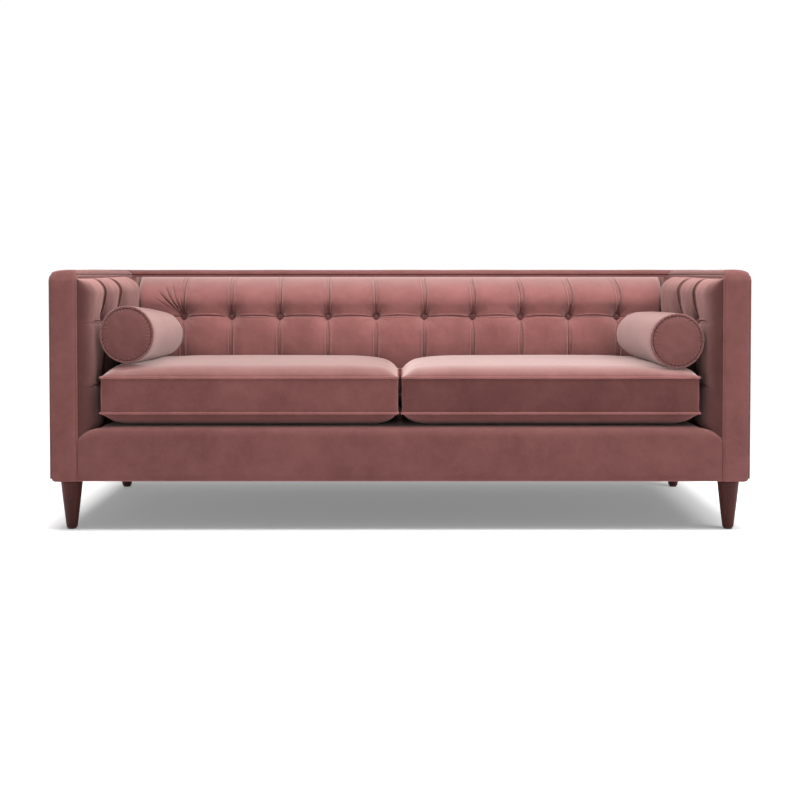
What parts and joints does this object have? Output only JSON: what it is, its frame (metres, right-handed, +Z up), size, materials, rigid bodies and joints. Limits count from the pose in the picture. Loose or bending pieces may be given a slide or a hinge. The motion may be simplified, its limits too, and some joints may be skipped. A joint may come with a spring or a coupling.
{
  "type": "tuxedo sofa",
  "caption": "Low sofa whose arms and back are one height, with button-tufted inner faces, a padded top band, loose boxed seat cushions, loose round bolsters and tapered wooden legs.",
  "frame": {"origin": "on the floor, at the middle of the sofa's width and depth", "axes": "+X to the right of someone facing the sofa, along its width; +Y to the sofa's back; +Z up"},
  "size_m": [2.134, 0.864, 0.803],
  "materials": {
    "velvet": "dusty rose velvet, short pile",
    "deck_cloth": "plain woven cloth",
    "dust_cloth": "thin black non-woven cloth",
    "leg_wood": "dark red-brown stain, satin lacquer",
    "frame_timber": "plain sawn timber",
    "steel": "bare spring and bolt steel",
    "glide_plastic": "moulded, matt"
  },
  "bodies": {
    "frame": {"left_arm_band": "velvet", "right_arm_band": "velvet", "back_band": "velvet", "outside_back_panel": "velvet", "left_outside_panel": "velvet", "right_outside_panel": "velvet", "front_border": "velvet", "left_arm_pad": "velvet", "right_arm_pad": "velvet", "back_pad": "velvet", "deck_pad": "deck_cloth", "dust_cover": "dust_cloth", "front_seat_rail": "frame_timber", "back_seat_rail": "frame_timber", "centre_seat_rail": "frame_timber", "back_tack_rail": "frame_timber", "back_top_board": "frame_timber", "left_arm_front_post": "frame_timber", "right_arm_front_post": "frame_timber", "left_rear_post": "frame_timber", "right_rear_post": "frame_timber", "left_arm_top_board": "frame_timber", "right_arm_top_board": "frame_timber", "left_arm_tack_rail": "frame_timber", "right_arm_tack_rail": "frame_timber", "back_upright_left": "frame_timber", "back_upright_right": "frame_timber", "left_seat_rail": "frame_timber", "right_seat_rail": "frame_timber", "corner_block_front_left": "frame_timber", "corner_block_front_right": "frame_timber", "corner_block_rear_left": "frame_timber", "corner_block_rear_right": "frame_timber", "seat_spring_1": "steel", "seat_spring_2": "steel", "seat_spring_3": "steel", "seat_spring_4": "steel", "seat_spring_5": "steel", "seat_spring_6": "steel", "seat_spring_7": "steel", "seat_spring_8": "steel", "spring_tie_wire_front": "steel", "spring_tie_wire_back": "steel", "leg_front_left": "leg_wood", "leg_front_right": "leg_wood", "leg_rear_left": "leg_wood", "leg_rear_right": "leg_wood", "leg_bolt_front_left": "steel", "leg_bolt_front_right": "steel", "leg_bolt_rear_left": "steel", "leg_bolt_rear_right": "steel", "glide_front_left": "glide_plastic", "glide_front_right": "glide_plastic", "glide_rear_left": "glide_plastic", "glide_rear_right": "glide_plastic"},
    "left_cushion": {"seat_cushion_left": "velvet"},
    "right_cushion": {"seat_cushion_right": "velvet"},
    "left_bolster": {"bolster_left": "velvet"},
    "right_bolster": {"bolster_right": "velvet"}
  },
  "joints": [
    {"name": "left_cushion_lift", "type": "slide", "parent": "frame", "child": "left_cushion", "axis": [0, 0, 1], "range_m": [0, 0.5]},
    {"name": "right_cushion_lift", "type": "slide", "parent": "frame", "child": "right_cushion", "axis": [0, 0, 1], "range_m": [0, 0.5]},
    {"name": "left_bolster_lift", "type": "slide", "parent": "left_cushion", "child": "left_bolster", "axis": [0, 0, 1], "range_m": [0, 0.2]},
    {"name": "right_bolster_lift", "type": "slide", "parent": "right_cushion", "child": "right_bolster", "axis": [0, 0, 1], "range_m": [0, 0.2]}
  ]
}
